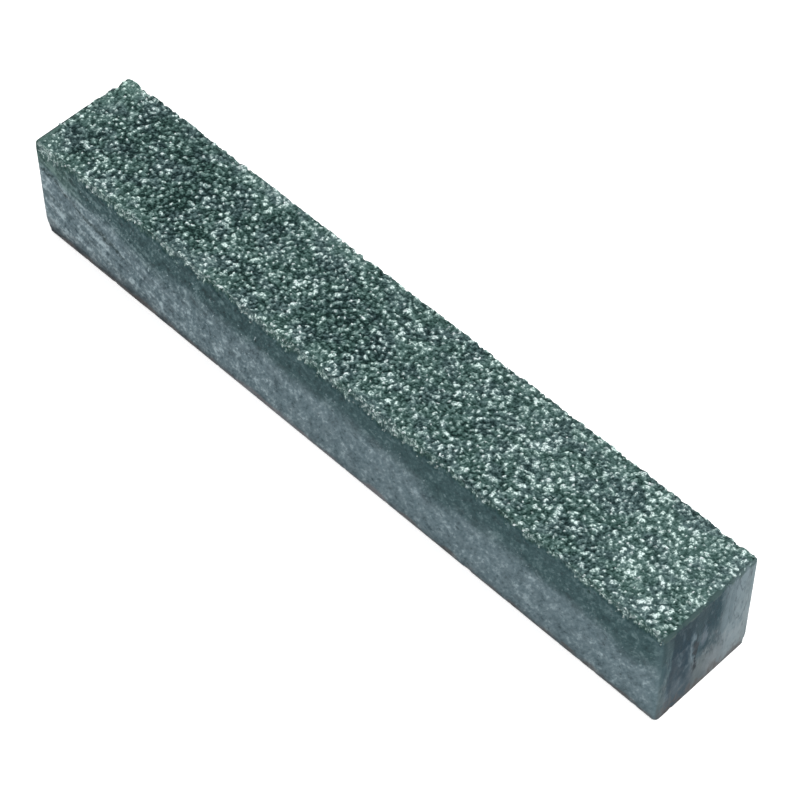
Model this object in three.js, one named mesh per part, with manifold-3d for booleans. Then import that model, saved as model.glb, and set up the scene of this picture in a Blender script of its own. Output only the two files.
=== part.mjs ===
// A two-grit sharpening whetstone: a slim square bar for touching up carving and whittling edges.
//
// A coarse, open-grained layer is glued on a finer, denser body with a thin line of resin.
// Millimetres. +X runs along the bar, +Y across it and +Z up to the coarse honing face.
// The origin is at the middle of the underside, where the stone rests on the bench.

import * as THREE from "three";
import { mergeVertices } from "three/addons/utils/BufferGeometryUtils.js";
import Module from "manifold-3d";

// The whole bar.
const LENGTH = 150;
const WIDTH = 22.5;
const HEIGHT = 24;

// How the height is shared between the layers, from the top down.
const COARSE_THICKNESS = 8;
const BOND_THICKNESS = 0.4;

// The moulded edges: rounded uprights, and eased edges round the honing face and the foot.
const CORNER_RADIUS = 0.9;
const CORNER_SEGMENTS = 6;
const RIM_CHAMFER = 0.3;
const FOOT_CHAMFER = 0.3;

// How far a cutting slab reaches past the bar on every side.
const CUT_MARGIN = 5;

const BOND_TOP = HEIGHT - COARSE_THICKNESS;
const BODY_TOP = BOND_TOP - BOND_THICKNESS;

const wasm = await Module();
wasm.setup();

// A closed three.js geometry as a solid that can be cut.
function toSolid(geometry) {
  const bare = geometry.clone();
  bare.deleteAttribute("normal");
  bare.deleteAttribute("uv");
  const merged = mergeVertices(bare);
  return new wasm.Manifold(new wasm.Mesh({
    numProp: 3,
    vertProperties: new Float32Array(merged.attributes.position.array),
    triVerts: new Uint32Array(merged.index.array),
  }));
}

// A solid back as a three.js geometry with one flat normal to each face.
function toGeometry(solid) {
  const mesh = solid.getMesh();
  const indexed = new THREE.BufferGeometry();
  indexed.setAttribute("position", new THREE.BufferAttribute(mesh.vertProperties, 3));
  indexed.setIndex(new THREE.BufferAttribute(mesh.triVerts, 1));
  const geometry = indexed.toNonIndexed();
  geometry.computeVertexNormals();
  return geometry;
}

// The bar seen from above: a long rectangle with its four upright edges rounded.
function barOutline() {
  const x = LENGTH / 2 - CORNER_RADIUS;
  const y = WIDTH / 2 - CORNER_RADIUS;
  const quarter = Math.PI / 2;
  const outline = new THREE.Shape();
  outline.absarc(x, y, CORNER_RADIUS, 0, quarter);
  outline.absarc(-x, y, CORNER_RADIUS, quarter, 2 * quarter);
  outline.absarc(-x, -y, CORNER_RADIUS, 2 * quarter, 3 * quarter);
  outline.absarc(x, -y, CORNER_RADIUS, 3 * quarter, 4 * quarter);
  outline.closePath();
  return outline;
}

// The whole bar standing on Z = 0, with the edges of its top and its underside cut back alike.
function wholeBar(chamfer) {
  const bar = new THREE.ExtrudeGeometry(barOutline(), {
    depth: HEIGHT - 2 * chamfer,
    bevelEnabled: true,
    bevelThickness: chamfer,
    bevelSize: chamfer,
    bevelOffset: -chamfer,
    bevelSegments: 1,
    curveSegments: CORNER_SEGMENTS,
  });
  return toSolid(bar.translate(0, 0, chamfer));
}

// The slice of a bar between two heights.
function slice(bar, bottom, top) {
  const slab = new THREE.BoxGeometry(LENGTH + CUT_MARGIN, WIDTH + CUT_MARGIN, top - bottom);
  slab.translate(0, 0, (bottom + top) / 2);
  return bar.intersect(toSolid(slab));
}

// The coarse layer: open, sparkling grains whose tips make the honing face.
function coarseGritLayer() {
  const solid = slice(wholeBar(RIM_CHAMFER), BOND_TOP, HEIGHT + CUT_MARGIN);
  const material = new THREE.MeshStandardMaterial({ color: 0x5c7671, roughness: 0.95, metalness: 0 });
  return namedMesh("coarse_grit_layer", solid, material);
}

// The cured resin between the two layers.
function bondLine() {
  const solid = slice(wholeBar(RIM_CHAMFER), BODY_TOP, BOND_TOP);
  const material = new THREE.MeshStandardMaterial({ color: 0x46575c, roughness: 0.7, metalness: 0 });
  return namedMesh("bond_line", solid, material);
}

// The fine body: dense and smooth-sided, with the edge of its foot eased so that it won't chip on the bench.
function fineGritBody() {
  const solid = slice(wholeBar(FOOT_CHAMFER), -CUT_MARGIN, BODY_TOP);
  const material = new THREE.MeshStandardMaterial({ color: 0x66777d, roughness: 0.8, metalness: 0 });
  return namedMesh("fine_grit_body", solid, material);
}

function namedMesh(name, solid, material) {
  const mesh = new THREE.Mesh(toGeometry(solid), material);
  mesh.name = name;
  return mesh;
}

const whetstone = new THREE.Group();
whetstone.add(coarseGritLayer(), bondLine(), fineGritBody());

export default whetstone;
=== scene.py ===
"""The looks of a two-grit sharpening whetstone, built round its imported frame.

Metres, with +X along the bar, +Y from its front to its back and +Z up to the coarse honing face. Each
layer of the stone is a closed mesh whose fine relief is worked out here, and the palest grains are
small crystals of their own.
"""
import math
from functools import reduce
from itertools import product

import bmesh
import bpy
import numpy as np
from mathutils import Matrix, Quaternion, Vector


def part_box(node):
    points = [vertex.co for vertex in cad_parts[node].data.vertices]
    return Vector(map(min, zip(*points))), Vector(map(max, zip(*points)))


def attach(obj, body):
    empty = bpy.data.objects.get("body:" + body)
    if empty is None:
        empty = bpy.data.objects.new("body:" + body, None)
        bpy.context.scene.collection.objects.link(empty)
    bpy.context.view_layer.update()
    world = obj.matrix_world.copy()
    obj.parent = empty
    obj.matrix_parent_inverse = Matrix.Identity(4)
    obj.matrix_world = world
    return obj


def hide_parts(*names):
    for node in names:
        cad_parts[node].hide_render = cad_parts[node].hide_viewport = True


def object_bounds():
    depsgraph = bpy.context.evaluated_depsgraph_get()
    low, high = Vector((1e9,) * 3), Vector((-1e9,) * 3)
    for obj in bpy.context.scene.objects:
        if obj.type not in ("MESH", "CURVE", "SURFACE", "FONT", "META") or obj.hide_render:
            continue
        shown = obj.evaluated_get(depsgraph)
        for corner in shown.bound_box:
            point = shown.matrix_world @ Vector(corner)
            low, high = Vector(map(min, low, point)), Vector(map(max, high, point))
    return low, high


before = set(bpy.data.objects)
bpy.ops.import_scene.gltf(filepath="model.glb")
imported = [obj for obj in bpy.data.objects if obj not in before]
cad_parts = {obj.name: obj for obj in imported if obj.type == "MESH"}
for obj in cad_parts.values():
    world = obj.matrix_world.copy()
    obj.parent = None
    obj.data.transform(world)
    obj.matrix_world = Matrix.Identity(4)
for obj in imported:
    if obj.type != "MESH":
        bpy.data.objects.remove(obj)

MM = 0.001
# The grains are drawn from this seed, and every other random pattern adds a number of its own to it.
SEED = 20

CAD_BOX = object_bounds()
LOW, HIGH = (np.array(corner) for corner in CAD_BOX)
LENGTH, WIDTH, HEIGHT = HIGH - LOW
COARSE_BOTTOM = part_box("coarse_grit_layer")[0][2]
BODY_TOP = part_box("fine_grit_body")[1][2]

# The bar's edges, kept inside the plain chamfers of its frame.
CORNER_RADIUS = 0.95 * MM
RIM_RADIUS = 0.52 * MM
FOOT_CHAMFER = 0.35 * MM
SHARPEST_RADIUS = 0.05 * MM
# Used instead of a length of 0 where something is divided by it.
TINY = 1e-9

# The unevenness of the smooth skin: how large its features are, and how deep. Its drag lines run along
# the bar on the long sides and upright on the ends.
SWELL_SIZE, SWELL_DEPTH = 9 * MM, 0.05 * MM
ROUGH_SIZE, ROUGH_DEPTH = 0.8 * MM, 0.025 * MM
PIT_SIZE, PIT_DEPTH = 1.3 * MM, 0.12 * MM
DRAG_DEPTH, END_DRAG_DEPTH = 0.012 * MM, 0.037 * MM
DRAG_SIZE, END_DRAG_SIZE = 0.9 * MM, 1.1 * MM
DRAG_STRETCH = np.array([14, 14, 1])
END_DRAG_STRETCH = np.array([1, 1, 9])

# How finely the meshes are divided.
TOP_STEP = 0.225 * MM
SIDE_STEP = 0.4 * MM
BOND_STEP = 0.5 * MM
STRAY_STEP = 0.3 * MM

# The grains of the honing face: pale ones stand highest, with dull ones between them. Each kind has its
# spacing, its usual radius, its least and greatest depth below the highest tips, and its range of paleness.
PALE_GRAINS = (1.35 * MM, 0.32 * MM, (0.03 * MM, 0.20 * MM), (0.35, 1.0))
DULL_GRAINS = (0.80 * MM, 0.30 * MM, (0.18 * MM, 0.42 * MM), (0.0, 0.45))
GRAIN_SLOPE = 0.55 * MM
SMEARED_STRETCH = 2.3
GROUND_DEPTH = 0.45 * MM
LIP_DEPTH = 0.20 * MM
LEAST_DEPTH = 0.01 * MM
RELIEF_STEP = 0.1 * MM
CRUMPLE_SIZE = 0.5 * MM
CRUMPLE_REACH = 0.34 * MM

# Grains at least this pale are crystals, and somewhat duller ones too past the front rim.
CRYSTAL_PALENESS = 0.58
RIM_CRYSTAL_PALENESS = 0.42
CRYSTAL_SHAPES = 14
CRYSTAL_CORNERS = 12
# How far the crystals keep inside the frame's -Y side and its top.
CRYSTAL_SIDE_GAP = 0.01 * MM
CRYSTAL_TOP_GAP = 0.005 * MM

# Grains stray over the rim, so their field runs this far past it on every side and folds down the walls.
FIELD_MARGIN = 5 * MM
# How far down the -Y side the open grain reaches, at shares of the way along the bar.
STRAY_ALONG = [0, 0.12, 0.30, 0.45, 0.52, 0.60, 0.68, 0.80, 1.0]
STRAY_REACH = MM * np.array([2.4, 2.3, 2.3, 2.1, 2.6, 2.6, 1.7, 1.3, 1.6])
STRAY_SPREAD = 0.65 * MM

# What makes a place of the honing face paler: how large its features are, and how strong.
SPECKLE_SIZE, SPECKLE_STRENGTH = 0.42 * MM, 0.30
CURL_SIZE, CURL_STRENGTH = 1.3 * MM, 0.26
PATCH_SIZE, PATCH_STRENGTH = 3.2 * MM, 0.16
CLOUD_SIZE, CLOUD_STRENGTH = 9 * MM, 0.12
LACE_STRENGTH = 0.55
# How much darker the ground between the grains is painted for lying deeper: painted shade in the hollows.
HOLLOW_SHADE_STRENGTH = 0.25
SKIN_TONE = 0.35

# Wear: the raggedness of the back rim, fine and broad, the worn -X end, and the chips along the edges.
NOTCH_SIZE, NOTCH_DEPTH = 0.9 * MM, 0.44 * MM
DENT_SIZE, DENT_DEPTH = 3.0 * MM, 0.12 * MM
WORN_END_DEPTH = 0.42 * MM
RIM_CHIP_COUNT = 64
FOOT_CHIP_COUNT = 90

# Lace-like seams of pale grains near the -X end, and a ring of them further along, as places on the
# honing face in millimetres from its front corner at that end.
LACE = [
    [(11.2, 5.2), (11.5, 6.2), (12.3, 6.2), (13.1, 5.6), (14.4, 4.9)],
    [(13.1, 5.6), (12.7, 4.4), (13.3, 3.3), (12.9, 1.7), (13.7, 0.8), (15.4, 0.2)]]
LACE_WIDTH = 0.32 * MM
RING_MIDDLE = (113, 7.5)
RING_RADIUS = 1.6 * MM

# The view: its direction and roll in degrees, its distance and aim from the middle of the bar, and its
# lens and sensor in millimetres.
VIEW_AZIMUTH = 45.35
VIEW_ELEVATION = 52.37
VIEW_ROLL = -0.43
VIEW_DISTANCE = 3.222 * LENGTH
VIEW_AIM = Vector((0.0391 * LENGTH, -0.0006 * LENGTH, LOW[2] + 0.488 * HEIGHT))
VIEW_LENS = 128.1
VIEW_SENSOR = 36

# Edges turned by more than this are shaded as sharp.
SHARP_ANGLE = math.radians(60)

# For turning a cell of space into a place in a table of random numbers.
HASH_PRIMES = np.array([73856093, 19349663, 83492791])
HASH_SIZE = 8192


# ---------------------------------------------------------------- smooth random numbers

def value_noise(points, size, seed):
    """Smooth random numbers from 0 to 1 at points, with features about size across."""
    cell = points / size
    corner = np.floor(cell).astype(np.int64)
    part = cell - corner
    part = part * part * (3 - 2 * part)
    table = np.random.default_rng(seed).random(HASH_SIZE)
    total = np.zeros(len(points))
    for step in product((0, 1), repeat=3):
        key = ((corner + step) * HASH_PRIMES).sum(1) % HASH_SIZE
        weight = np.where(step, part, 1 - part).prod(1)
        total += weight * table[key]
    return total


def cloud(points, size, seed, octaves=3):
    """Layered value_noise from 0 to 1, each layer half the size and half the strength of the last."""
    total = sum(value_noise(points, size / 2**i, seed + i) / 2**i for i in range(octaves))
    return total / (2 - 2 ** (1 - octaves))


def smoothstep(low, high, value):
    t = np.clip((value - low) / (high - low), 0, 1)
    return t * t * (3 - 2 * t)


# ---------------------------------------------------------------- closed bars of fine mesh

def bar_grid(across, levels):
    """Places (u, v, level) and faces of a closed block. u and v run from -1 to 1 across it.

    The first level is a full grid, each other level is a ring, and one flat face closes the last.
    """
    u, v = (np.linspace(-1, 1, count + 1) for count in across)
    index = np.arange(len(u) * len(v)).reshape(len(u), len(v))
    ring = np.concatenate([index[:-1, 0], index[-1, :-1], index[:0:-1, -1], index[0, :0:-1]])
    cap = np.stack([*np.meshgrid(u, v, indexing="ij"), np.full(index.shape, levels[0])], -1).reshape(-1, 3)
    places, rings = [cap], [ring]
    for k, level in enumerate(levels[1:]):
        places.append(np.column_stack([cap[ring][:, :2], np.full(len(ring), level)]))
        rings.append(index.size + k * len(ring) + np.arange(len(ring)))
    corners = [index[:-1, :-1], index[1:, :-1], index[1:, 1:], index[:-1, 1:]]
    faces = np.stack(corners, -1).reshape(-1, 4).tolist()
    for above, below in zip(rings, rings[1:]):
        faces += np.stack([above, below, np.roll(below, -1), np.roll(above, -1)], -1).tolist()
    faces.append(rings[-1][::-1].tolist())
    return np.concatenate(places), faces


def to_outline(places, inset):
    """Where places lie on the bar's rounded outline, moved in by inset, and their ways out of its walls."""
    half = np.array([LENGTH, WIDTH]) / 2 - inset[:, None]
    radius = np.maximum(CORNER_RADIUS - inset, SHARPEST_RADIUS)[:, None]
    flat = places[:, :2] * half
    core = np.clip(flat, radius - half, half - radius)
    out = flat - core
    length = np.maximum(np.hypot(*out.T), TINY)[:, None]
    longest = np.abs(out).max(1)[:, None]
    return core + out * longest / length, np.where(longest > 0, out / length, 0)


def scoop(points, centres, radii):
    """Pushes points out of balls, which leaves the hollows of chipped edges."""
    for centre, radius in zip(centres, radii):
        away = points - centre
        distance = np.linalg.norm(away, axis=1)
        inside = distance < radius
        points[inside] = centre + away[inside] * (radius / np.maximum(distance[inside], TINY))[:, None]


def side_depth(points, out):
    """How far the stone's skin lies inside the true outline: unevenness, drag lines and small pits."""
    end = smoothstep(0.6, 0.8, np.abs(out[:, 0]))
    drag = (1 - end) * cloud(points / DRAG_STRETCH, DRAG_SIZE, SEED + 20)
    drag += end * cloud(points / END_DRAG_STRETCH, END_DRAG_SIZE, SEED + 30)
    pit = smoothstep(0.74, 0.86, cloud(points, PIT_SIZE, SEED + 40, 2))
    depth = SWELL_DEPTH * cloud(points, SWELL_SIZE, SEED + 50)
    depth += (DRAG_DEPTH + (END_DRAG_DEPTH - DRAG_DEPTH) * end) * drag
    depth += ROUGH_DEPTH * cloud(points, ROUGH_SIZE, SEED + 60, 2) + PIT_DEPTH * pit
    return depth


def add_piece(name, vertices, faces, replaces, slot, material, **attributes):
    """Adds a smooth-shaded mesh piece that rides on the stone and stands for one CAD node."""
    mesh = bpy.data.meshes.new(name)
    mesh.from_pydata(vertices.tolist(), [], faces)
    mesh.polygons.foreach_set("use_smooth", [True] * len(mesh.polygons))
    for key, values in attributes.items():
        mesh.attributes.new(key, "FLOAT", "POINT").data.foreach_set("value", values.astype(np.float32))
    mesh.update()
    mesh.set_sharp_from_angle(angle=SHARP_ANGLE)
    mesh.materials.append(material)
    piece = bpy.data.objects.new(name, mesh)
    bpy.context.scene.collection.objects.link(piece)
    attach(piece, "root")
    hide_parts(replaces)


# ---------------------------------------------------------------- the honing face

def lattice(spacing, rng):
    """Places over the field of grains on a loosely jittered lattice."""
    low, high = LOW - FIELD_MARGIN, HIGH + FIELD_MARGIN
    rows = np.arange(low[1], high[1], spacing * math.sqrt(0.75))
    columns = np.arange(low[0], high[0], spacing)
    x, y = np.meshgrid(columns, rows)
    x[1::2] += spacing / 2
    place = np.column_stack([x.ravel(), y.ravel()])
    return place + rng.uniform(-0.42, 0.42, place.shape) * spacing


class Grains:
    """The abrasive grains of the honing face: their places, shapes, levels and how pale each is."""

    def __init__(self, rng):
        groups = []
        for spacing, radius, depth, paleness in (PALE_GRAINS, DULL_GRAINS):
            place = lattice(spacing, rng)
            count = len(place)
            radii = radius * np.exp(np.clip(rng.normal(-0.04, 0.33, count), -0.7, 0.6))
            share = (place[:, 0] - LOW[0]) / LENGTH
            radii *= 0.84 + 0.12 * smoothstep(0, 0.08, share) - 0.02 * share
            depths = rng.uniform(*depth, count)
            groups.append(np.column_stack([place, radii, depths, rng.uniform(*paleness, count)]))
        x, y, self.radius, self.depth, self.pale = np.concatenate(groups).T
        self.place = np.column_stack([x, y])
        count = len(self.place)
        # Towards the +X end the pale grains stand more thickly and are more drawn out.
        along = np.clip((x - LOW[0]) / LENGTH, 0, 1)
        self.stretch = 1 + (0.5 + 0.8 * along) * rng.random(count)
        self.pale *= np.where(rng.random(count) < 0.4 * (1 - along), 0.5, 1)
        self.turn = rng.uniform(0, 2 * math.pi, count)
        self.sides = rng.integers(4, 7, count)
        self.tilt = rng.normal(0, 0.12, (count, 2))

        # Grains below the front rim lie smeared slantwise over the side.
        smeared = y < LOW[1] + 0.5 * RIM_RADIUS
        self.turn = np.where(smeared, math.pi / 3 + rng.normal(0, 0.2, count), self.turn)
        self.stretch = np.where(smeared, SMEARED_STRETCH, self.stretch)
        # In some patches the pale grains are dim, in others bright.
        spots = np.column_stack([self.place, np.zeros(count)])
        self.pale *= 0.74 + 0.52 * cloud(spots, 5 * MM, SEED + 75, 2)
        # The edge of the open grain is loose: single grains stand outside it, and others are missing
        # inside.
        self.shown = grit_share(self.place + rng.normal(0, STRAY_SPREAD, (count, 2))) > 0.5
        self.shown &= (np.abs(self.place) < HIGH[:2] + np.array([0.3, 3.5]) * MM).all(1)


class Relief:
    """The field of grains on a fine raster.

    It holds the depth below the highest tips, the paleness and how much of the skin is covered.
    """

    def __init__(self, grains):
        self.low = LOW[:2] - FIELD_MARGIN
        self.shape = tuple(round((size + 2 * FIELD_MARGIN) / RELIEF_STEP) + 1 for size in (LENGTH, WIDTH))
        x, y = (np.arange(n) * RELIEF_STEP + low for n, low in zip(self.shape, self.low))
        points = np.stack([*np.meshgrid(x, y, indexing="ij"), np.zeros(self.shape)], -1).reshape(-1, 3)
        ground = GROUND_DEPTH * (0.75 + 0.5 * cloud(points, 0.7 * MM, SEED + 80, 3))
        self.depth = ground.reshape(self.shape)
        self.pale = np.zeros(self.shape)
        self.cover = grit_share(points).reshape(self.shape)
        # Outlines of grains are drawn through a slightly crumpled raster, so none is a plain polygon.
        crumple_x, crumple_y = (
            CRUMPLE_REACH * (cloud(points, CRUMPLE_SIZE, SEED + seed, 2) - 0.5) for seed in (83, 86))
        self.x = x[:, None] + crumple_x.reshape(self.shape)
        self.y = y[None, :] + crumple_y.reshape(self.shape)
        for i in np.flatnonzero(grains.shown):
            self.add_grain(grains, i)

    def add_grain(self, grains, i):
        """Raises one many-sided grain with a tilted top out of the ground."""
        centre, radius, stretch = grains.place[i], grains.radius[i], math.sqrt(grains.stretch[i])
        reach = 1.5 * radius * stretch
        window = []
        for n, low, middle in zip(self.shape, self.low, centre):
            first = max(0, math.ceil((middle - reach - low) / RELIEF_STEP))
            last = min(n, math.floor((middle + reach - low) / RELIEF_STEP) + 1)
            window.append(slice(first, max(first, last)))
        window = tuple(window)
        dx = (self.x[window] - centre[0]) / radius
        dy = (self.y[window] - centre[1]) / radius
        cos, sin = math.cos(grains.turn[i]), math.sin(grains.turn[i])
        u, v = (dx * cos + dy * sin) / stretch, (dy * cos - dx * sin) * stretch
        angles = np.arange(grains.sides[i]) * 2 * math.pi / grains.sides[i]
        reached = np.max([u * math.cos(a) + v * math.sin(a) for a in angles], axis=0)
        tilt = grains.tilt[i] * radius
        depth = grains.depth[i] + dx * tilt[0] + dy * tilt[1] + GRAIN_SLOPE * np.maximum(reached - 0.6, 0)
        depth = np.maximum(depth, LEAST_DEPTH)
        higher = depth < self.depth[window]
        inside = 1 - smoothstep(0.7, 1.05, reached)
        pale = grains.pale[i] * inside
        self.depth[window] = np.where(higher, depth, self.depth[window])
        self.pale[window] = np.where(higher, pale, self.pale[window])
        self.cover[window] = np.maximum(self.cover[window], inside)

    def at(self, field, points):
        """A field read between the raster's points."""
        spot = (points[:, :2] - self.low) / RELIEF_STEP
        spot = np.clip(spot, 0, np.array(self.shape) - 1.001)
        low = spot.astype(int)
        part = spot - low
        i, j = low.T
        left = field[i, j] * (1 - part[:, 1]) + field[i, j + 1] * part[:, 1]
        right = field[i + 1, j] * (1 - part[:, 1]) + field[i + 1, j + 1] * part[:, 1]
        return left * (1 - part[:, 0]) + right * part[:, 0]


def grit_share(spread):
    """How much of the open grain shows at places of its field: all of it at 1, only smooth skin at 0."""
    x, y = spread[:, 0], spread[:, 1]
    flat = np.column_stack([x, y, np.zeros(len(spread))])
    wander = cloud(flat * np.array([1, 0, 0]), 3.5 * MM, SEED + 90, 3) - 0.5
    patchy = cloud(flat, 1.1 * MM, SEED + 95, 2) - 0.5
    stray = np.interp((x - LOW[0]) / LENGTH, STRAY_ALONG, STRAY_REACH)
    front = y - LOW[1] + stray * (1 + 1.6 * wander) + 1.6 * MM * patchy
    back = HIGH[1] - y + 0.8 * MM + 1.5 * MM * wander
    start = x - LOW[0] - 1.2 * MM * smoothstep(2 * MM, -9 * MM, y) + 2.0 * MM * patchy
    stop = HIGH[0] - x - 0.45 * MM + 0.7 * MM * patchy
    return smoothstep(0, 0.35 * MM, np.min([front, back, start, stop], axis=0))


def rim_bite(points, below):
    """How far the back rim, and the rim round its -X corner, is eaten away: a fine, uneven raggedness."""
    corner = smoothstep(LOW[0] + 2 * MM, LOW[0] + 0.5 * MM, points[:, 0])
    corner *= smoothstep(0, HIGH[1], points[:, 1])
    back = smoothstep(HIGH[1] - 2.0 * MM, HIGH[1] - 0.9 * MM, points[:, 1])
    notch = smoothstep(0.42, 0.80, cloud(points * np.array([1, 1, 0.6]), NOTCH_SIZE, SEED + 110, 2))
    notch *= 1 + 0.8 * smoothstep(LOW[0] + 10 * MM, LOW[0] + 2 * MM, points[:, 0])
    dent = smoothstep(0.55, 0.8, cloud(points, DENT_SIZE, SEED + 115, 2))
    where = np.maximum(corner, 0.8 * back) * upright_fade(below)
    return where * (NOTCH_DEPTH * notch + DENT_DEPTH * dent)


def upright_fade(below):
    """1 at the rim, falling to 0 a little way down the walls."""
    return smoothstep(2.2 * MM, 0, below)


def coarse_levels():
    """Depths of the coarse layer's rings below its rim: close together where grains stray, then wider."""
    rim = RIM_RADIUS * (1 - np.cos(np.linspace(0, math.pi / 2, 5)))
    stray = np.arange(RIM_RADIUS + STRAY_STEP, 4.2 * MM, STRAY_STEP)
    wall = np.linspace(stray[-1], HIGH[2] - COARSE_BOTTOM, 7)[1:]
    return np.concatenate([rim, stray, wall])


def coarse_layer(relief, material):
    """Adds the upper third of the stone, with the open grain of its honing face."""
    across = [round(size / TOP_STEP) for size in (LENGTH - 2 * RIM_RADIUS, WIDTH - 2 * RIM_RADIUS)]
    places, faces = bar_grid(across, coarse_levels())
    below = places[:, 2]
    upward = np.clip(1 - below / RIM_RADIUS, 0, 1)
    sideward = np.sqrt(1 - upward**2)
    inset = RIM_RADIUS * (1 - sideward)
    flat, out = to_outline(places, inset)
    flat += (LOW[:2] + HIGH[:2]) / 2
    points = np.column_stack([flat, HIGH[2] - below])

    # Where each point would lie if the walls were folded up level with the honing face.
    folded = RIM_RADIUS * np.arccos(upward) + np.clip(below - RIM_RADIUS, 0, None)
    spread = flat + out * (folded - RIM_RADIUS + inset)[:, None] * (below > 0)[:, None]
    share = relief.at(relief.cover, spread)
    lip = LIP_DEPTH * (0.7 + 0.6 * cloud(points, 4 * MM, SEED + 100, 3)) * upward
    skin = np.where(below > RIM_RADIUS, 0, lip) + sideward * side_depth(points, out)
    rise = 1 - 0.6 * smoothstep(HIGH[1] - 1 * MM, HIGH[1], spread[:, 1])
    depth = share * rise * relief.at(relief.depth, spread) + (1 - share) * skin
    ragged = rim_bite(points, below)
    worn_end = WORN_END_DEPTH * smoothstep(LOW[0] + 1.5 * MM, LOW[0], points[:, 0])
    points[:, 2] -= upward * depth + (ragged + worn_end) * (1 - below / below.max())
    bitten = np.where(below > 0, ragged + 0.4 * worn_end * upright_fade(below), 0)
    points[:, :2] -= out * (sideward * depth + bitten)[:, None]
    scoop(points, *rim_chips())
    add_piece(
        "coarse_layer", points, faces, "coarse_grit_layer", "coarse_grit", material,
        tone=tones(spread, relief, share, below == 0), grit=share, on_end=end_share(out))


def tones(spread, relief, share, on_cap):
    """How pale each place of the field of grains is, from 0 for the darkest pit to 1 for the palest grain.

    The tones are ranks, so every shade has a fixed share of the honing face. The palest lie more
    thickly towards the +X end. Smooth skin has one middling tone.
    """
    along = (spread[:, 0] - LOW[0]) / LENGTH
    across = (spread[:, 1] - LOW[1]) / WIDTH
    flat = np.column_stack([spread[:, :2], np.zeros(len(spread))])
    curl = np.abs(cloud(flat, CURL_SIZE, SEED + 170, 2) - 0.5)
    mixed = relief.at(relief.pale, spread)
    # Painted shade: the deeper the ground lies, the darker it is.
    mixed -= HOLLOW_SHADE_STRENGTH * relief.at(relief.depth, spread) / GROUND_DEPTH
    mixed += (SPECKLE_STRENGTH - 0.12 * along) * cloud(flat, SPECKLE_SIZE, SEED + 160, 2)
    mixed += CLOUD_STRENGTH * cloud(flat, CLOUD_SIZE, SEED + 165, 2)
    mixed += CURL_STRENGTH * smoothstep(0.035, 0.0, curl)
    mixed += PATCH_STRENGTH * cloud(flat, PATCH_SIZE, SEED + 168, 2)
    mixed += LACE_STRENGTH * lace(spread[:, :2])
    # Paler at the -X end, near both long edges of the -X half, and more and more towards the +X end.
    edge = smoothstep(0.22, 0.0, np.minimum(across, 1 - across))
    mixed += smoothstep(0.055, 0, along) * (0.16 + 0.5 * (cloud(flat, 0.55 * MM, SEED + 174, 2) - 0.5))
    mixed += 0.15 * edge * (1 - along)
    # The rise towards the +X end, and towards the back there, is partly paler grain and partly painted
    # sheen.
    mixed += 0.15 * np.clip(along, 0, 1) ** 3 + 0.04 * along + 0.04 * across * along
    rank = np.interp(mixed, np.sort(mixed[on_cap]), np.linspace(0, 1, on_cap.sum()))
    # Below the front rim, fewer places are dark, and only the crystals are palest.
    past_rim = smoothstep(LOW[1] + RIM_RADIUS, LOW[1] - 0.3 * MM, spread[:, 1])
    rank = np.minimum(rank + 0.10 * past_rim, 1 - 0.14 * past_rim)
    return SKIN_TONE + (rank - SKIN_TONE) * share


def lace(spread):
    """How strongly the placed seams of pale grains show at places of the field, from 0 to 1."""
    spot = (spread - LOW[:2]) / MM
    flat = np.column_stack([spread, np.zeros(len(spread))])
    wobble = 0.4 * MM * (cloud(flat, 0.8 * MM, SEED + 180, 2) - 0.5)
    nearest = np.full(len(spot), np.inf)
    for line in LACE:
        for start, end in zip(line, line[1:]):
            step = np.subtract(end, start)
            part = np.clip((spot - start) @ step / (step @ step), 0, 1)
            nearest = np.minimum(nearest, np.linalg.norm(spot - start - part[:, None] * step, axis=1) * MM)
    seam = smoothstep(LACE_WIDTH, 0.3 * LACE_WIDTH, nearest + wobble)
    off_ring = np.abs(np.linalg.norm(spot - RING_MIDDLE, axis=1) * MM - RING_RADIUS) + wobble
    return np.maximum(seam, 0.5 * smoothstep(LACE_WIDTH, 0.3 * LACE_WIDTH, off_ring))


def end_share(out):
    """1 on the bar's two ends, 0 on its long sides."""
    return smoothstep(0.5, 0.85, np.abs(out[:, 0]))


def rim_chips():
    """Small chips along the rim of the honing face."""
    rng = np.random.default_rng(SEED + 120)
    count = RIM_CHIP_COUNT
    x = rng.uniform(LOW[0], HIGH[0], count)
    y = np.where(rng.random(count) < 0.5, LOW[1], HIGH[1])
    radii = rng.uniform(0.5 * MM, 1.3 * MM, count)
    lift = radii * rng.uniform(0.55, 0.8, count)
    outward = np.sign(y - (LOW[1] + HIGH[1]) / 2)
    return np.column_stack([x, y + outward * lift * 0.5, HIGH[2] - LIP_DEPTH + lift * 0.7]), radii


# ---------------------------------------------------------------- crystals

def crystal_shapes(rng):
    """Convex many-faced crystals about 2 across, as (vertices, triangles)."""
    shapes = []
    for _ in range(CRYSTAL_SHAPES):
        spots = rng.normal(size=(CRYSTAL_CORNERS, 3))
        spots /= np.linalg.norm(spots, axis=1)[:, None]
        spots *= rng.uniform(0.8, 1.05, (CRYSTAL_CORNERS, 1))
        hull = bmesh.new()
        for spot in spots:
            hull.verts.new(spot)
        bmesh.ops.convex_hull(hull, input=hull.verts)
        loose = [v for v in hull.verts if not v.link_faces]
        bmesh.ops.delete(hull, geom=loose, context="VERTS")
        bmesh.ops.recalc_face_normals(hull, faces=hull.faces)
        hull.verts.index_update()
        triangles = [[v.index for v in face.verts] for face in hull.faces]
        shapes.append((np.array([v.co for v in hull.verts]), np.array(triangles)))
        hull.free()
    return shapes


def turned(turn, rng):
    """A turn about the vertical with a small random tilt, as a 3 by 3 matrix."""
    tilt = Quaternion((math.cos(turn), math.sin(turn), 0), rng.normal(0, 0.3))
    return np.array((tilt @ Quaternion((0, 0, 1), turn)).to_matrix())


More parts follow.
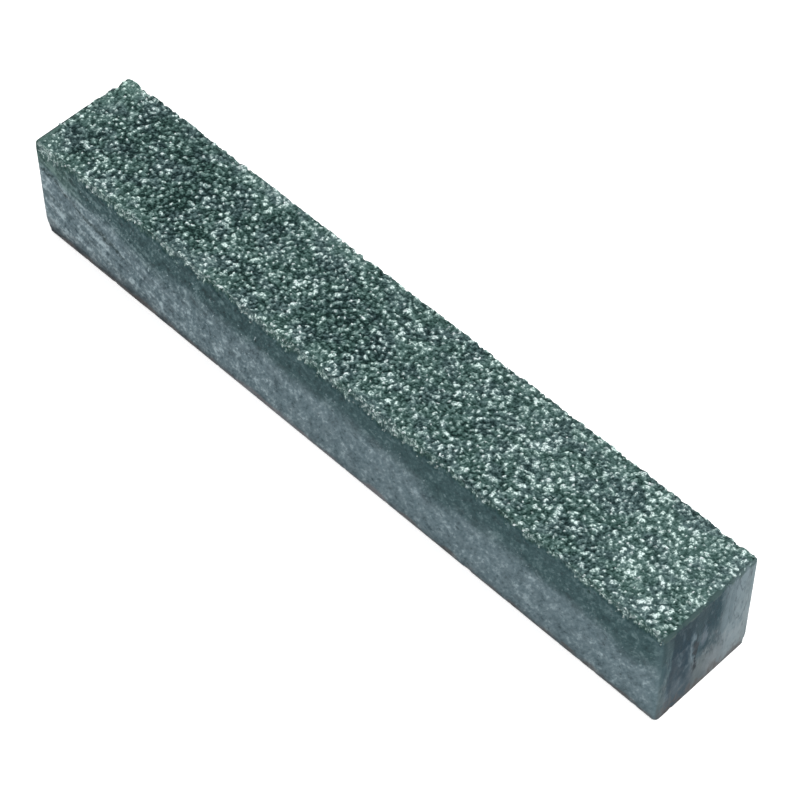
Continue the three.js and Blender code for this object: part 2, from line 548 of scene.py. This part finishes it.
def seat(place):
    """Where a place in the field of grains lies on the bar, and how far the surface leans outwards there.

    Past the front rim the field folds down over the rounding and the -Y side.
    """
    arc = max(LOW[1] + RIM_RADIUS - place[1], 0)
    lean = min(arc / RIM_RADIUS, math.pi / 2)
    y = place[1] if arc == 0 else LOW[1] + RIM_RADIUS * (1 - math.sin(lean))
    z = HIGH[2] - RIM_RADIUS * (1 - math.cos(lean)) - max(arc - RIM_RADIUS * math.pi / 2, 0)
    return np.array([place[0], y, z]), lean


def crystals(grains, material):
    """Adds the palest grains, as separate crystals that stand a little proud of the ground."""
    rng = np.random.default_rng(SEED + 130)
    shapes = crystal_shapes(rng)
    edge = np.column_stack([grains.place[:, 0] - LOW[0], HIGH[:2] - grains.place]).min(1)
    past_rim = grains.place[:, 1] < LOW[1] + RIM_RADIUS
    wanted = np.where(past_rim, RIM_CRYSTAL_PALENESS, CRYSTAL_PALENESS)
    chosen = np.flatnonzero((grains.pale > wanted) & (edge > RIM_RADIUS) & grains.shown)
    vertices, faces, tone = [], [], []
    first = 0
    for i in chosen:
        corners, triangles = shapes[rng.integers(len(shapes))]
        stretch = math.sqrt(grains.stretch[i])
        size = grains.radius[i] * np.array([stretch, 1 / stretch, 0.55]) * rng.uniform(0.6, 1.0)
        surface, lean = seat(grains.place[i])
        outward = np.array([0, -math.sin(lean), math.cos(lean)])
        leaning = np.array(Matrix.Rotation(lean, 3, "X"))
        placed = (corners * size) @ turned(grains.turn[i], rng).T @ leaning.T
        sunk = (grains.depth[i] - rng.uniform(0.0, 0.08) * MM) * (1 - 0.85 * math.sin(lean))
        placed += surface - outward * ((placed @ outward).max() + max(sunk, CRYSTAL_TOP_GAP))
        placed[:, 1] += max(LOW[1] + CRYSTAL_SIDE_GAP - placed[:, 1].min(), 0)
        placed[:, 2] += min(HIGH[2] - CRYSTAL_TOP_GAP - placed[:, 2].max(), 0)
        vertices.append(placed)
        faces += (triangles + first).tolist()
        # The crystals' tone is partly their own pale colour and partly painted glint.
        tone.append(np.full(len(corners), 0.66 + 0.38 * grains.pale[i] * rng.uniform(0.6, 1)))
        first += len(corners)
    add_piece(
        "pale_crystals", np.concatenate(vertices), faces, "coarse_grit_layer", "coarse_grit", material,
        tone=np.concatenate(tone))


# ---------------------------------------------------------------- the bond line and the fine body

def bond_line(material):
    """Adds the thin line of resin between the layers, flush with the skin of both."""
    across = [round(size / BOND_STEP) for size in (LENGTH, WIDTH)]
    places, faces = bar_grid(across, np.linspace(COARSE_BOTTOM, BODY_TOP, 3))
    flat, out = to_outline(places, np.zeros(len(places)))
    points = np.column_stack([flat + (LOW[:2] + HIGH[:2]) / 2, places[:, 2]])
    points[:, :2] -= out * side_depth(points, out)[:, None]
    add_piece(
        "bond_resin_line", points, faces, "bond_line", "bond_resin", material,
        on_end=end_share(out))


def foot_chips():
    """Chips along the foot, and two larger losses at corners."""
    rng = np.random.default_rng(SEED + 140)
    count = FOOT_CHIP_COUNT
    along = rng.random(count) < 0.85
    x = np.where(along, rng.uniform(LOW[0], HIGH[0], count), rng.choice([LOW[0], HIGH[0]], count))
    y = np.where(along, rng.choice([LOW[1], HIGH[1]], count), rng.uniform(LOW[1], HIGH[1], count))
    radii = rng.uniform(0.4 * MM, 1.0 * MM, count)
    z = LOW[2] + np.where(rng.random(count) < 0.5, FOOT_CHAMFER, 0) + rng.normal(0, 0.1 * MM, count)
    outward = np.column_stack([np.where(along, 0, np.sign(x)), np.where(along, np.sign(y), 0)])
    shift = (radii * rng.uniform(0.75, 0.95, count))[:, None]
    centres = np.column_stack([np.column_stack([x, y]) + outward * shift, z])
    # Two larger losses: a broken corner at the foot of the +X end, and a worn upright at the other.
    broken = np.array([HIGH[0] + 1.7 * MM, HIGH[1] + 1.8 * MM, LOW[2] + 0.6 * MM])
    worn = np.array([LOW[0] - 6.2 * MM, LOW[1] - 4.4 * MM, LOW[2] - 1.0 * MM])
    return np.vstack([centres, broken, worn]), np.append(radii, [3.4 * MM, 9.0 * MM])


def fine_body(material):
    """Adds the lower two thirds of the stone, with a chamfered foot."""
    across = [round(size / SIDE_STEP) for size in (LENGTH, WIDTH)]
    foot = LOW[2] + FOOT_CHAMFER * np.array([0, 0.5, 1])
    wall_levels = np.arange(foot[-1] + SIDE_STEP, BODY_TOP - SIDE_STEP / 2, SIDE_STEP)
    levels = np.concatenate([foot, wall_levels, [BODY_TOP]])
    places, faces = bar_grid(across, levels)
    faces = [face[::-1] for face in faces]
    up = places[:, 2] - LOW[2]
    inset = np.clip(FOOT_CHAMFER - up, 0, None)
    flat, out = to_outline(places, inset)
    points = np.column_stack([flat + (LOW[:2] + HIGH[:2]) / 2, places[:, 2]])
    wall = np.where(up > 0, 1, 0.6)
    points[:, :2] -= out * (wall * side_depth(points, out))[:, None]
    scoop(points, *foot_chips())
    points[:, 2] = np.clip(points[:, 2], LOW[2], BODY_TOP)
    under = (up == 0) & (np.abs(out).sum(1) == 0)
    points[under, 2] += 0.12 * MM * smoothstep(0.5, 0.75, cloud(points[under], 2.5 * MM, SEED + 150))
    add_piece(
        "fine_body", points, faces, "fine_grit_body", "fine_grit", material,
        on_end=end_share(out))


# ---------------------------------------------------------------- materials

def colour(r, g, b):
    """An sRGB colour, each part from 0 to 255, as the linear colour that shaders take."""
    parts = [c / 255 for c in (r, g, b)]
    return (*[c / 12.92 if c <= 0.04045 else ((c + 0.055) / 1.055) ** 2.4 for c in parts], 1.0)


class Look:
    """A material's node tree, with short ways to add its usual nodes."""

    def __init__(self, name):
        self.material = bpy.data.materials.new(name)
        self.material.use_nodes = True
        self.tree = self.material.node_tree
        self.shader = self.tree.nodes["Principled BSDF"]
        self.place = self.tree.nodes.new("ShaderNodeTexCoord").outputs["Object"]

    def feed(self, socket, value):
        if isinstance(value, bpy.types.NodeSocket):
            self.tree.links.new(value, socket)
        else:
            socket.default_value = value

    def node(self, kind, inputs, output=0, **settings):
        node = self.tree.nodes.new(kind)
        for name, value in settings.items():
            setattr(node, name, value)
        for socket, value in inputs.items():
            self.feed(node.inputs[socket], value)
        return node.outputs[output]

    def attribute(self, name):
        return self.node("ShaderNodeAttribute", {}, "Fac", attribute_name=name)

    def axis(self, name):
        return self.node("ShaderNodeSeparateXYZ", {0: self.place}, name)

    def noise(self, size, stretch=(1, 1, 1), detail=2.0, shift=0.0, turn=0.0):
        """Noise from 0 to 1 with features about size across, drawn out by stretch and turned about Y."""
        inputs = {
            "Vector": self.place, "Location": (shift * MM, shift * MM, shift * MM),
            "Rotation": (0, turn, 0), "Scale": [size * part for part in stretch]}
        mapped = self.node("ShaderNodeMapping", inputs, vector_type="TEXTURE")
        return self.node("ShaderNodeTexNoise", {"Vector": mapped, "Scale": 1.0, "Detail": detail})

    def range(self, value, low, high, to_low=0.0, to_high=1.0):
        """A smooth step: to_low where value is at low or beyond it, to_high at high or beyond."""
        inputs = {"Value": value, "From Min": low, "From Max": high, "To Min": to_low, "To Max": to_high}
        return self.node("ShaderNodeMapRange", inputs, interpolation_type="SMOOTHSTEP")

    def share(self, value, low, high):
        """How far value is on an even way from low to high, from 0 to 1."""
        return self.node("ShaderNodeMapRange", {"Value": value, "From Min": low, "From Max": high})

    def swing(self, noise, reach):
        """Noise as a shift of up to reach either way."""
        return self.range(noise, 0.3, 0.7, -reach, reach)

    def math(self, operation, a, b):
        return self.node("ShaderNodeMath", {0: a, 1: b}, operation=operation)

    def plus(self, *values):
        return reduce(lambda a, b: self.math("ADD", a, b), values)

    def times(self, *values):
        return reduce(lambda a, b: self.math("MULTIPLY", a, b), values)

    def off(self, value, middle):
        """How far value is from middle, on either side."""
        return self.math("ABSOLUTE", self.math("SUBTRACT", value, middle), 0.0)

    def mix(self, factor, a, b, blend="MIX"):
        inputs = {"Factor": factor, 6: a, 7: b}
        return self.node("ShaderNodeMix", inputs, 2, data_type="RGBA", blend_type=blend)

    def stained(self, base, factor, shade):
        """A colour with an sRGB shade laid over it, fully where factor is 1."""
        return self.mix(factor, base, colour(*shade))

    def ramp(self, value, stops, paint=colour):
        """A smooth run of shades, each at its place from 0 to 1, as the colours paint makes of them."""
        node = self.tree.nodes.new("ShaderNodeValToRGB")
        self.feed(node.inputs["Fac"], value)
        while len(node.color_ramp.elements) < len(stops):
            node.color_ramp.elements.new(1.0)
        for element, (place, shade) in zip(node.color_ramp.elements, stops):
            element.position = place
            element.color = paint(*shade)
        return node.outputs["Color"]

    def bump(self, height, distance, normal=None):
        inputs = {"Height": height, "Distance": distance, "Strength": 1.0}
        if normal is not None:
            inputs["Normal"] = normal
        return self.node("ShaderNodeBump", inputs)


# Shades by lightness, from the darkest parts of each surface to its palest.
# The palest grain shades are partly the grains' own pale colour and partly painted glint.
GRAIN_SHADES = [
    (0.00, (10, 28, 28)), (0.12, (27, 47, 46)), (0.35, (52, 72, 70)), (0.60, (73, 93, 93)),
    (0.78, (99, 117, 117)), (0.90, (135, 150, 150)), (1.00, (205, 214, 216))]
SLATE_SHADES = [
    (0.34, (44, 60, 66)), (0.46, (75, 92, 98)), (0.54, (90, 107, 113)), (0.68, (140, 156, 161))]
BAND_SHADES = [
    (0.34, (18, 37, 40)), (0.46, (37, 60, 63)), (0.54, (49, 72, 75)), (0.68, (88, 109, 111))]

# The ends' shades across them, from the -Y side to the +Y side, in their upper and their lower parts.
# These are the shades that a lit end shows, and end_paint works out the paint for them.
# Their rise towards the +Y side and their paler lower parts are partly the stone's own tone and partly
# painted light, from behind and off the floor.
END_UPPER_SHADES = [
    (0.00, (78, 98, 102)), (0.06, (74, 94, 99)), (0.10, (44, 64, 74)), (0.26, (42, 61, 72)),
    (0.33, (64, 83, 91)), (0.42, (64, 83, 90)), (0.47, (46, 67, 75)), (0.57, (50, 71, 78)),
    (0.66, (92, 108, 114)), (0.80, (118, 134, 140)), (1.00, (124, 138, 142))]
END_LOWER_SHADES = [
    (0.00, (88, 103, 106)), (0.08, (82, 97, 102)), (0.14, (64, 80, 89)), (0.30, (68, 82, 90)),
    (0.42, (97, 107, 110)), (0.60, (110, 119, 123)), (0.80, (124, 137, 142)), (1.00, (128, 139, 142))]
# How much the studio's light strengthens an end's paint, and the haze its gloss adds, both by trial.
END_GAIN = 1.36
END_HAZE = 0.021

# Single marks on the long sides.
FLECK_SHADE = (150, 168, 173)
POCK_SHADE = (34, 48, 53)
STAIN_SHADE = (28, 45, 46)
GREEN_SHADES = ((44, 68, 58), (92, 118, 106))
FOOT_SHADE = (44, 50, 54)
FOOT_LINE_SHADE = (36, 43, 47)
FOOT_EDGE_SHADES = ((66, 60, 58), (96, 92, 94))
# A painted highlight along the upright edges near the +X end.
EDGE_HIGHLIGHT_SHADE = (68, 88, 93)
LIP_SHADES = ((66, 90, 83), (68, 84, 82))

# Marks on the ends, and the lip of the honing face over them.
END_DARK_SHADE = (28, 42, 48)
END_PALE_SHADE = (112, 128, 134)
END_VEIN_SHADE = (26, 38, 46)
END_FOOT_SHADE = (60, 54, 52)
# Painted shade over the top of the ends on their -Y half.
END_PAINTED_TOP_SHADE = (12, 34, 38)
END_LIP_SHADE = (60, 77, 76)

# Tints that the open grain's shades are multiplied by: greenish, bluish, and greenest at a corner.
GRAIN_TINTS = ((241, 255, 247), (250, 246, 255))
CORNER_TINT = (234, 255, 243)

# Heights in the materials are above the underside, which lies at Z = 0 in the frame. The dark band fades
# in between these two.
BAND_LEVELS = (9.8 * MM, 16.8 * MM)

# Turns about Y, in radians. The mottles of the long sides are also drawn out upwards, so that they look
# round in the main view. The drag lines only slant.
MOTTLE_TURN = 0.52
DRAG_TURN = 0.27

# The dark stains on the long sides: how far below the first each lies, and its strength.
STAINS = ((0.0, 0.95), (6.0 * MM, 0.4))

# Upright streaks on the +X end: each one's distance from the -Y side, lowest point, half width, strength
# and shade. The first is a dark crack, with a pale smear beside it.
END_STREAKS = [
    (8.4 * MM, 6 * MM, 0.55 * MM, 0.85, (16, 26, 33)),
    (7.3 * MM, 10 * MM, 0.6 * MM, 0.45, (104, 120, 128)),
    (10.4 * MM, 12 * MM, 0.9 * MM, 0.4, (96, 108, 118)),
    (2.9 * MM, 3 * MM, 0.9 * MM, 0.3, (22, 34, 42))]


def skin_colour(look):
    """The smooth moulded skin: on the long sides a dark green-grey band above paler, mottled slate."""
    height = look.axis("Z")
    along = look.share(look.axis("X"), LOW[0], HIGH[0])
    broad = look.noise(2.5 * MM, (1, 1, 1.3), 5.0, 31.0, MOTTLE_TURN)
    fine = look.noise(0.50 * MM, (1, 1, 1.9), 4.0, 77.0, MOTTLE_TURN)
    level = band_level(look, height, along)
    band = look.range(level, *BAND_LEVELS)
    light = skin_lightness(look, band, along, broad, fine)
    base = look.mix(band, look.ramp(light, SLATE_SHADES), look.ramp(light, BAND_SHADES))
    base = with_flecks(look, base, level, along)
    base = with_stains(look, base, height, along, light, broad, fine)
    base = with_foot(look, base, height, along)
    # Painted highlight along the upright edges near the +X end.
    base = with_edge_highlight(look, base, broad)
    base = with_lips(look, base, height)
    return look.mix(look.attribute("on_end"), base, end_colour(look, height))


def band_level(look, height, along):
    """The height, shifted so that the lower edge of the dark band wanders."""
    wander = look.noise(9 * MM, (1.6, 1.6, 1), 4.0)
    return look.plus(
        height, look.swing(wander, 2.2 * MM), look.range(along, 0.0, 0.20, -4.0 * MM, 0.0),
        look.range(along, 0.62, 0.48, 0.0, -0.7 * MM))


def skin_lightness(look, band, along, broad, fine):
    """Lightness: broad and fine mottles, calmer in the +X half, and slanting drag lines near the -X end."""
    calm = look.range(along, 0.36, 0.48, 1.0, 0.78)
    mottles = look.times(look.math("SUBTRACT", look.times(look.plus(broad, fine), 0.5), 0.5), calm)
    drag = look.swing(look.noise(1.4 * MM, (7, 7, 1), 3.0, 17.0, DRAG_TURN), 0.07)
    return look.plus(
        mottles, 0.5, look.range(along, 0.36, 0.0, 0.0, 0.04),
        look.times(drag, look.range(along, 0.40, 0.12)),
        look.times(band, look.range(along, 0.66, 0.84, 0.0, 0.02)))


def with_flecks(look, base, level, along):
    """White flecks, thickest where the two tones meet in the -X half, and small dark pocks."""
    fleck = look.noise(0.48 * MM, (1, 1, 2.0), 2.0, 123.0, MOTTLE_TURN)
    flecks = look.times(
        look.range(fleck, 0.64, 0.80), look.range(level, 1 * MM, 12 * MM, 0.1, 1.0),
        look.range(level, 22 * MM, 15 * MM), look.range(along, 0.36, 0.50, 1.0, 0.4))
    base = look.stained(base, flecks, FLECK_SHADE)
    pock = look.noise(0.8 * MM, (1.3, 1.3, 1), 3.0, 211.0)
    return look.stained(base, look.range(pock, 0.36, 0.28, 0.0, 0.6), POCK_SHADE)


def with_stains(look, base, height, along, light, broad, fine):
    """Dark stains that slant down from the -X end, with a greener patch above them."""
    fall = look.plus(
        height, look.swing(broad, 0.6 * MM), look.range(along, 0.01, 0.10, -17.0 * MM, -12.0 * MM),
        look.range(along, 0.08, 0.17, 0.0, 2.4 * MM))
    broken = look.times(look.range(fine, 0.35, 0.6, 1.0, 0.4), look.range(along, 0.19, 0.13))
    for drop, strength in STAINS:
        stain = look.range(look.off(fall, -drop), 1.0 * MM, 0.15 * MM, 0.0, strength)
        base = look.stained(base, look.times(stain, broken), STAIN_SHADE)
    green = look.times(look.range(fall, 0.6 * MM, 3.0 * MM), look.range(along, 0.10, 0.02, 0.0, 0.4))
    dark, pale = (colour(*shade) for shade in GREEN_SHADES)
    return look.mix(green, base, look.mix(look.range(light, 0.4, 0.62), dark, pale))


def with_foot(look, base, height, along):
    """A broken dark line along the foot, strongest near the -X end, over a slightly brown edge."""
    noise = look.noise(1.6 * MM, (2.4, 2.4, 1), 4.0, 151.0)
    level = look.plus(height, look.swing(noise, 0.8 * MM))
    shade = look.times(look.range(level, 5.0 * MM, 2.0 * MM), look.range(along, 0.27, 0.16, 0.0, 0.5))
    base = look.stained(base, shade, FOOT_SHADE)
    paler = look.times(look.range(along, 0.26, 0.36), look.range(along, 0.66, 0.56))
    brown, pale = (colour(*shade) for shade in FOOT_EDGE_SHADES)
    edge = look.range(level, 1.8 * MM, 0.5 * MM, 0.0, 0.7)
    base = look.mix(edge, base, look.mix(paler, brown, pale))
    line = look.times(
        look.range(level, 0.2 * MM, 1.0 * MM), look.range(level, 3.0 * MM, 1.6 * MM),
        look.range(noise, 0.42, 0.58, 0.10, 1.0), look.range(along, 0.15, 0.36, 0.9, 0.3))
    return look.stained(base, line, FOOT_LINE_SHADE)


def with_edge_highlight(look, base, broad):
    """A painted highlight: a slightly paler strip along the upright edges of the +X end."""
    place = look.math("SUBTRACT", look.axis("X"), look.swing(broad, 0.7 * MM))
    highlight = look.range(place, HIGH[0] - 3.0 * MM, HIGH[0] - 0.4 * MM, 0.0, 0.5)
    return look.stained(base, highlight, EDGE_HIGHLIGHT_SHADE)


def with_lips(look, base, height):
    """The smooth lips that show at both ends of the honing face."""
    far, near = LIP_SHADES
    lip = look.times(
        look.range(look.axis("X"), LOW[0] + 6 * MM, LOW[0] + 3 * MM, 0.0, 0.65),
        look.range(height, HIGH[2] - 1.8 * MM, HIGH[2] - 0.6 * MM))
    base = look.stained(base, lip, far)
    lip = look.times(
        look.range(look.axis("X"), HIGH[0] - 1.4 * MM, HIGH[0] - 0.6 * MM, 0.0, 0.8),
        look.range(height, HIGH[2] - 1.0 * MM, HIGH[2] - 0.4 * MM))
    return look.stained(base, lip, near)


def end_paint(r, g, b):
    """The paint that shows as an sRGB colour on a lit end, as the linear colour that shaders take."""
    shown = colour(r, g, b)[:3]
    return (*[(part - END_HAZE) / END_GAIN for part in shown], 1.0)


def end_colour(look, height):
    """The ends: dark on the -Y side and towards the top, light on the +Y side, with upright smears."""
    upright = look.noise(1.6 * MM, (1, 1, 6), 3.0, 53.0)
    mottle = look.noise(1.1 * MM, (1, 1, 2), 4.0, 82.0)
    across = look.plus(look.axis("Y"), look.swing(upright, 1.1 * MM))
    across = look.share(across, LOW[1], HIGH[1])
    level = look.plus(height, look.swing(mottle, 2.0 * MM))
    # Partly painted light: paler towards the +Y side and lower down, as well as the stone's own tone.
    lower = look.ramp(across, END_LOWER_SHADES, end_paint)
    upper = look.ramp(across, END_UPPER_SHADES, end_paint)
    base = look.mix(look.range(level, 6.5 * MM, 12.0 * MM), lower, upper)
    base = look.stained(base, look.range(mottle, 0.52, 0.68, 0.0, 0.25), END_DARK_SHADE)
    base = look.stained(base, look.range(mottle, 0.46, 0.32, 0.0, 0.16), END_PALE_SHADE)
    vein = look.range(look.off(upright, 0.5), 0.025, 0.005)
    vein = look.times(vein, look.range(level, 4 * MM, 9 * MM, 0.0, 0.45))
    base = look.stained(base, vein, END_VEIN_SHADE)
    base = with_streaks(look, base, height, level, mottle)
    base = look.stained(base, look.range(level, 4.0 * MM, -0.5 * MM, 0.0, 0.75), END_FOOT_SHADE)
    # Painted shade: darker towards the top on the -Y half.
    painted_top_shade = look.times(look.range(level, 15.0 * MM, 21.0 * MM, 0.0, 0.45), look.range(across, 0.60, 0.40))
    base = look.stained(base, painted_top_shade, END_PAINTED_TOP_SHADE)
    lip = look.plus(height, look.swing(mottle, 0.5 * MM))
    lip = look.range(lip, HIGH[2] - 1.3 * MM, HIGH[2] - 0.3 * MM, 0.0, 0.8)
    return look.stained(base, lip, END_LIP_SHADE)


def with_streaks(look, base, height, level, mottle):
    """The crack and the smears that run down the +X end."""
    sway = look.plus(look.axis("Y"), look.swing(mottle, 0.5 * MM))
    seen = look.times(look.range(look.axis("X"), 0, 1 * MM), look.range(level, 19 * MM, 15 * MM))
    for place, lowest, width, strength, shade in END_STREAKS:
        streak = look.range(look.off(sway, LOW[1] + place), width, 0.2 * width, 0.0, strength)
        streak = look.times(streak, seen, look.range(height, lowest - 1 * MM, lowest + 1 * MM))
        base = look.stained(base, streak, shade)
    return base


def skin_finish(look):
    """Roughness and fine surface texture of the skin."""
    patch = look.noise(3.0 * MM, (1, 1, 1), 3.0, 9.1)
    look.feed(look.shader.inputs["Roughness"], look.range(patch, 0.3, 0.7, 0.45, 0.65))
    look.shader.inputs["Specular IOR Level"].default_value = 0.06
    grain = look.noise(0.22 * MM, (1, 1, 1), 2.0, 2.2)
    return look.bump(grain, 0.03 * MM)


def skin_material(name):
    look = Look(name)
    look.feed(look.shader.inputs["Base Color"], skin_colour(look))
    look.feed(look.shader.inputs["Normal"], skin_finish(look))
    return look.material


def coarse_material():
    """Skin on the sides and open, dark green grain with pale tips on the honing face."""
    look = Look("coarse_open_grain")
    skin = skin_colour(look)
    bumps = skin_finish(look)
    speckle = look.noise(0.34 * MM, (1, 1, 1), 3.0, 65.0)
    tone = look.plus(look.attribute("tone"), look.swing(speckle, 0.18))
    hue = look.noise(4 * MM, (1.4, 1, 1), 3.0, 44.0)
    bluish = look.times(look.range(hue, 0.44, 0.62), look.range(tone, 0.85, 0.35, 0.25, 0.9))
    green, blue = (colour(*tint) for tint in GRAIN_TINTS)
    tint = look.mix(bluish, green, blue)
    corner = look.plus(look.axis("X"), look.times(look.axis("Y"), -0.35))
    tint = look.stained(tint, look.range(corner, LOW[0] + 5 * MM, LOW[0] - 2 * MM), CORNER_TINT)
    top = look.mix(1.0, look.ramp(tone, GRAIN_SHADES), tint, "MULTIPLY")
    look.feed(look.shader.inputs["Base Color"], look.mix(look.attribute("grit"), skin, top))
    look.feed(look.shader.inputs["Specular IOR Level"], look.range(tone, 0.5, 0.95, 0.06, 0.35))
    look.feed(look.shader.inputs["Roughness"], look.range(tone, 0.4, 0.9, 0.62, 0.40))
    look.feed(look.shader.inputs["Normal"], look.bump(speckle, 0.07 * MM, bumps))
    return look.material


def crystal_material():
    """Pale green crystals, each a little cloudy, their near-white partly painted glint."""
    look = Look("pale_crystal")
    cloudiness = look.noise(0.3 * MM, (1, 1, 1), 2.0, 8.8)
    light = look.plus(look.attribute("tone"), look.range(cloudiness, 0.25, 0.75, -0.10, 0.10))
    look.feed(look.shader.inputs["Base Color"], look.ramp(light, GRAIN_SHADES))
    look.feed(look.shader.inputs["Roughness"], look.range(cloudiness, 0.3, 0.7, 0.32, 0.52))
    look.shader.inputs["Specular IOR Level"].default_value = 0.35
    return look.material


# ---------------------------------------------------------------- the studio

FLOOR_REACH = 4.0


def looking_from(azimuth, elevation):
    """The direction from the stone to a viewer or lamp.

    Azimuth 0 is on the -Y side, and 90 on the +X side.
    """
    a, e = math.radians(azimuth), math.radians(elevation)
    return Vector((math.sin(a) * math.cos(e), -math.cos(a) * math.cos(e), math.sin(e)))


def add_camera():
    data = bpy.data.cameras.new("camera")
    data.sensor_width = VIEW_SENSOR
    data.lens = VIEW_LENS
    data.clip_start, data.clip_end = 0.01, 20
    camera = bpy.data.objects.new("camera", data)
    back = looking_from(VIEW_AZIMUTH, VIEW_ELEVATION)
    aimed = (-back).to_track_quat("-Z", "Y").to_matrix().to_4x4()
    roll = Matrix.Rotation(math.radians(VIEW_ROLL), 4, "Z")
    camera.matrix_world = Matrix.Translation(VIEW_AIM + back * VIEW_DISTANCE) @ aimed @ roll
    bpy.context.scene.collection.objects.link(camera)
    bpy.context.scene.camera = camera


def add_softbox(name, azimuth, elevation, distance, size, power):
    data = bpy.data.lights.new(name, "AREA")
    data.shape, data.size, data.energy = "DISK", size, power
    lamp = bpy.data.objects.new(name, data)
    away = looking_from(azimuth, elevation)
    turn = (-away).to_track_quat("-Z", "Y").to_matrix().to_4x4()
    lamp.matrix_world = Matrix.Translation(Vector((LOW + HIGH) / 2) + away * distance) @ turn
    bpy.context.scene.collection.objects.link(lamp)


def add_studio():
    """A pale floor under an even white sky, with one broad softbox behind and one in front."""
    mesh = bpy.data.meshes.new("floor")
    corners = [(x * FLOOR_REACH, y * FLOOR_REACH, 0) for x, y in ((-1, -1), (1, -1), (1, 1), (-1, 1))]
    mesh.from_pydata(corners, [], [(0, 1, 2, 3)])
    floor = bpy.data.objects.new("floor", mesh)
    floor.location.z = LOW[2]
    look = Look("floor_paper")
    look.shader.inputs["Base Color"].default_value = (0.86, 0.86, 0.86, 1)
    look.shader.inputs["Roughness"].default_value = 0.9
    look.shader.inputs["Specular IOR Level"].default_value = 0.1
    look.shader.inputs["Emission Color"].default_value = (1, 1, 1, 1)
    look.shader.inputs["Emission Strength"].default_value = 0.4
    mesh.materials.append(look.material)
    bpy.context.scene.collection.objects.link(floor)
    world = bpy.data.worlds.new("sky")
    world.use_nodes = True
    background = world.node_tree.nodes["Background"]
    background.inputs["Color"].default_value = (1.0, 1.0, 1.0, 1)
    background.inputs["Strength"].default_value = 0.95
    bpy.context.scene.world = world
    bpy.context.scene.view_settings.view_transform = "Standard"
    add_softbox("softbox_behind", azimuth=140, elevation=50, distance=0.9, size=0.6, power=5.0)
    add_softbox("softbox_front", azimuth=20, elevation=60, distance=1.0, size=0.8, power=2.0)


# ---------------------------------------------------------------- the stone

add_camera()
grains = Grains(np.random.default_rng(SEED))
relief = Relief(grains)
coarse_layer(relief, coarse_material())
crystals(grains, crystal_material())
bond_line(skin_material("resin_line"))
fine_body(skin_material("dense_skin"))
add_studio()
